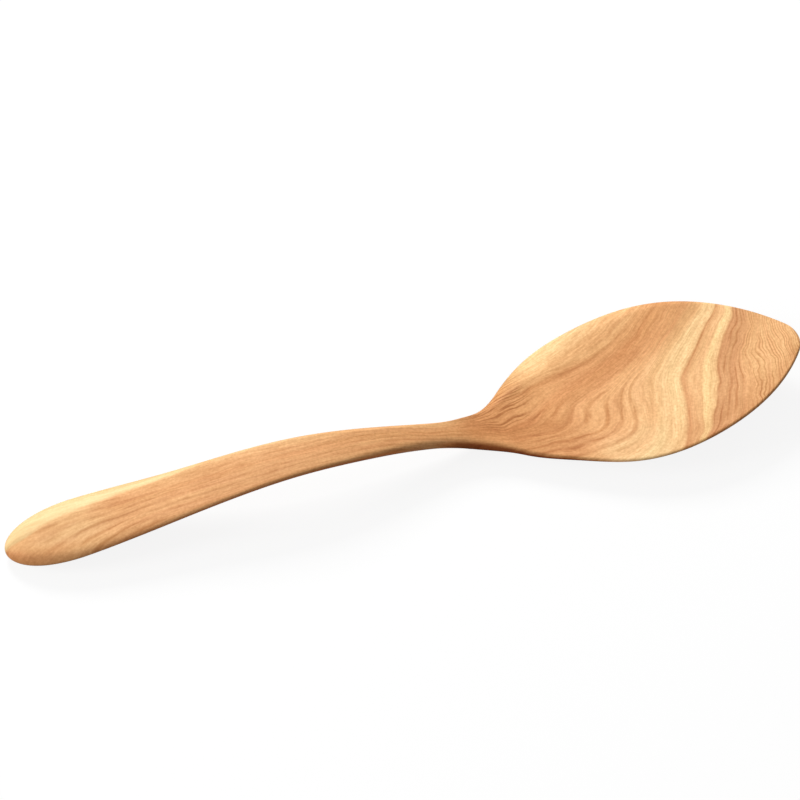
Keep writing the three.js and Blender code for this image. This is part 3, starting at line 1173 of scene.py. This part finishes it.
    def skin(self, rings: np.ndarray) -> tuple[np.ndarray, np.ndarray]:
        """Joins the rings into a closed skin. The first and the last ring have shrunk to a point each.

        Args:
            rings: Points, ring by ring.

        Returns:
            The quads between neighbouring rings, and the triangles round both ends.
        """
        inner, count = rings.shape[0] - 2, rings.shape[1]
        at = 1 + np.arange(inner * count).reshape(inner, count)
        beside = np.roll(at, -1, axis=1)
        quads = np.stack([at[:-1], beside[:-1], beside[1:], at[1:]], axis=2).reshape(-1, 4)
        start = np.stack([np.zeros(count, int), beside[0], at[0]], axis=1)
        end = np.stack([np.full(count, inner * count + 1), at[-1], beside[-1]], axis=1)
        return quads, np.vstack([start, end])

    def read(self, points: np.ndarray, depth: np.ndarray, below: np.ndarray) -> Readings:
        """Reads everything that the wood's traits depend on at every vertex.

        Args:
            points: The vertices.
            depth: Their depths below the top face.
            below: Their depths below the rim.

        Returns:
            The readings. The age is that of the growth lines straight above, and grows below the rim.
        """
        x, y = points[:, 0], points[:, 1]
        half = np.maximum(self.half_width(x), self.least_half)
        share = (y - self.through(self.measures.sway, 0.0)(x)) / half
        return {
            Reading.LENGTH: x,
            Reading.ACROSS: y,
            Reading.SHARE: share,
            Reading.NEAR_RIM: half * (1.0 + share),
            Reading.DEPTH: depth,
            Reading.BELOW: below,
            Reading.AGE: self.figure.solve()(x, y) + self.figure.dip * below,
        }

    def build(self) -> bpy.types.Object:
        """Makes the skin's object, with the age and the traits of the wood as its attributes.

        Returns:
            The object, at the origin, with its place in its mesh.
        """
        rings, depth, below = self.rings()
        points = self.flatten(rings)
        quads, ends = self.skin(rings)
        skin = self.read(points, self.flatten(depth), self.flatten(below))
        traits = {"age": skin[Reading.AGE], **self.traits.spread(skin)}
        mesh = bpy.data.meshes.new("spatula")
        middle = (points.min(axis=0) + points.max(axis=0)) / 2.0
        placed = (points - np.array([middle[0], middle[1], 0.0])) / METRE
        mesh.vertices.add(len(placed))
        mesh.vertices.foreach_set("co", placed.ravel())
        corners = np.concatenate([quads.ravel(), ends.ravel()])
        sizes = np.concatenate([np.full(len(quads), 4), np.full(len(ends), 3)])
        mesh.loops.add(len(corners))
        mesh.loops.foreach_set("vertex_index", corners)
        mesh.polygons.add(len(sizes))
        mesh.polygons.foreach_set("loop_start", np.concatenate([[0], np.cumsum(sizes)[:-1]]))
        mesh.polygons.foreach_set("use_smooth", np.ones(len(sizes), bool))
        mesh.update(calc_edges=True)
        for name, values in traits.items():
            mesh.attributes.new(name, "FLOAT", "POINT").data.foreach_set("value", values.astype(np.float32))
        piece = bpy.data.objects.new("spatula", mesh)
        bpy.context.collection.objects.link(piece)
        return piece

    def dress(self, piece: bpy.types.Object) -> None:
        """Gives the piece its finish and its place in the frame.

        Args:
            piece: The skin's object.
        """
        piece.data.materials.append(self.finish.material())
        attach(piece, "root")
        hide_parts("spatula_body")


@dataclass(frozen=True)
class Lamp:
    """One square soft lamp that faces the object.

    Attributes:
        name: Its name.
        azimuth: Degrees from -y round towards -x.
        elevation: Degrees above the floor.
        distance: From the object.
        side: Side of the square.
        power: In watts.
    """

    name: str
    azimuth: float
    elevation: float
    distance: float
    side: float
    power: float


@dataclass
class Studio:
    """A pale floor, soft lamps and the camera.

    Attributes:
        aim: Where the camera looks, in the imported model's frame.
        azimuth: Degrees that the camera stands round from the near side, towards the handle.
        elevation: Degrees above the floor.
        distance: From the camera to its aim.
        lens: Focal length on the camera's own sensor, in its own millimetres.
        sight: How far the camera sees.
        lamps: The soft lamps.
        fill: Strength of the light from all round.
        floor_side: Side of the square floor.
        floor_glow: How bright the camera sees the floor where no lamp reaches it.
        floor_tint: Colour of the floor that the lamps add to that.
        floor_back: Colour of the floor as it lights the object from below.
        floor_fade: Distances from the middle between which the floor turns plain white.
    """

    aim: tuple[float, float, float] = (1.57, 20.57, 8.24)
    azimuth: float = 17.34
    elevation: float = 49.12
    distance: float = 800.0
    lens: float = 96.45
    sight: float = 50000.0
    lamps: tuple[Lamp, ...] = (
        Lamp("key_lamp", azimuth=175.0, elevation=38.0, distance=1500.0, side=500.0, power=21.0),
        Lamp("side_lamp", azimuth=96.0, elevation=26.0, distance=1500.0, side=500.0, power=10.0),
    )
    fill: float = 0.32
    floor_side: float = 6000.0
    floor_glow: float = 0.88
    floor_tint: Colour = (0.12, 0.12, 0.12)
    floor_back: Colour = (0.38, 0.38, 0.38)
    floor_fade: Pair = (500.0, 1500.0)

    def toward(self, azimuth: float, elevation: float) -> Vector:
        """Gives the direction from the object, from compass and height angles in degrees.

        Args:
            azimuth: Degrees from -y round towards -x.
            elevation: Degrees above the floor.

        Returns:
            A vector of length 1.
        """
        turn, rise = math.radians(azimuth), math.radians(elevation)
        return Vector((-math.sin(turn) * math.cos(rise), -math.cos(turn) * math.cos(rise), math.sin(rise)))

    def camera(self) -> None:
        """Sets up the camera at the photograph's viewing angle."""
        eye = bpy.data.cameras.new("camera")
        eye.lens = self.lens
        eye.clip_end = self.sight / METRE
        holder = bpy.data.objects.new("camera", eye)
        back = self.toward(self.azimuth, self.elevation)
        holder.location = Vector(self.aim) / METRE + back * (self.distance / METRE)
        holder.rotation_euler = back.to_track_quat("Z", "Y").to_euler()
        bpy.context.collection.objects.link(holder)
        bpy.context.scene.camera = holder

    def hang(self, lamp: Lamp) -> None:
        """Hangs one lamp.

        Args:
            lamp: What it is and where it goes.
        """
        light = bpy.data.lights.new(lamp.name, "AREA")
        light.shape = "SQUARE"
        light.size = lamp.side / METRE
        light.energy = lamp.power
        holder = bpy.data.objects.new(lamp.name, light)
        out = self.toward(lamp.azimuth, lamp.elevation)
        holder.location = out * (lamp.distance / METRE)
        holder.rotation_euler = out.to_track_quat("Z", "Y").to_euler()
        bpy.context.collection.objects.link(holder)

    def seen(self, sketch: Recipe) -> Socket:
        """Gives 1 where the camera sees a surface straight, and 0 to every other ray."""
        return sketch.add("ShaderNodeLightPath").outputs["Is Camera Ray"]

    def floor(self) -> None:
        """Lays the floor: a flat square that keeps the shadow and is white where the camera sees it lit."""
        half = self.floor_side / METRE / 2.0
        corners = [(-half, -half, 0.0), (half, -half, 0.0), (half, half, 0.0), (-half, half, 0.0)]
        mesh = bpy.data.meshes.new("floor")
        mesh.from_pydata(corners, [], [(0, 1, 2, 3)])
        paint = bpy.data.materials.new("pale_floor")
        paint.use_nodes = True
        paint.node_tree.nodes.clear()
        sketch = Recipe(paint.node_tree)
        place = sketch.add("ShaderNodeTexCoord").outputs["Object"]
        away = sketch.add("ShaderNodeVectorMath", {0: place}, operation="LENGTH").outputs["Value"]
        matt = sketch.add("ShaderNodeBsdfDiffuse", {"Color": (*self.floor_tint, 1.0)})
        glow = sketch.add("ShaderNodeEmission", {"Strength": self.floor_glow})
        lit = sketch.add("ShaderNodeAddShader", {0: matt.outputs[0], 1: glow.outputs[0]})
        plain = sketch.add("ShaderNodeEmission", {"Strength": 1.0})
        faded = sketch.ranged(away, *(edge / METRE for edge in self.floor_fade))
        white = sketch.add("ShaderNodeMixShader", {0: faded, 1: lit.outputs[0], 2: plain.outputs[0]})
        back = sketch.add("ShaderNodeBsdfDiffuse", {"Color": (*self.floor_back, 1.0)})
        either = sketch.add("ShaderNodeMixShader", {
            0: self.seen(sketch), 1: back.outputs[0], 2: white.outputs[0]})
        sketch.add("ShaderNodeOutputMaterial", {"Surface": either.outputs[0]})
        mesh.materials.append(paint)
        piece = bpy.data.objects.new("floor", mesh)
        bpy.context.collection.objects.link(piece)

    def world(self) -> None:
        """Sets the light that comes from all round, and the white that the camera sees behind."""
        sky = bpy.data.worlds.new("studio")
        sky.use_nodes = True
        sky.node_tree.nodes.clear()
        sketch = Recipe(sky.node_tree)
        strength = sketch.maths("MULTIPLY_ADD", self.seen(sketch), 1.0 - self.fill, self.fill)
        glow = sketch.add("ShaderNodeBackground", {"Color": (1.0, 1.0, 1.0, 1.0), "Strength": strength})
        sketch.add("ShaderNodeOutputWorld", {"Surface": glow.outputs[0]})
        bpy.context.scene.world = sky

    def build(self) -> None:
        """Sets up the camera, the lamps, the world and the floor."""
        self.camera()
        self.world()
        for lamp in self.lamps:
            self.hang(lamp)
        self.floor()
        bpy.context.scene.view_settings.view_transform = "Standard"


def main() -> None:
    """Builds the studio and the spatula."""
    logging.basicConfig(level=logging.INFO, format="%(name)s: %(message)s")
    Studio().build()
    spatula = Spatula()
    piece = spatula.build()
    spatula.dress(piece)
    LOG.info("%s: %d faces", piece.name, len(piece.data.polygons))


if __name__ == "__main__":
    main()
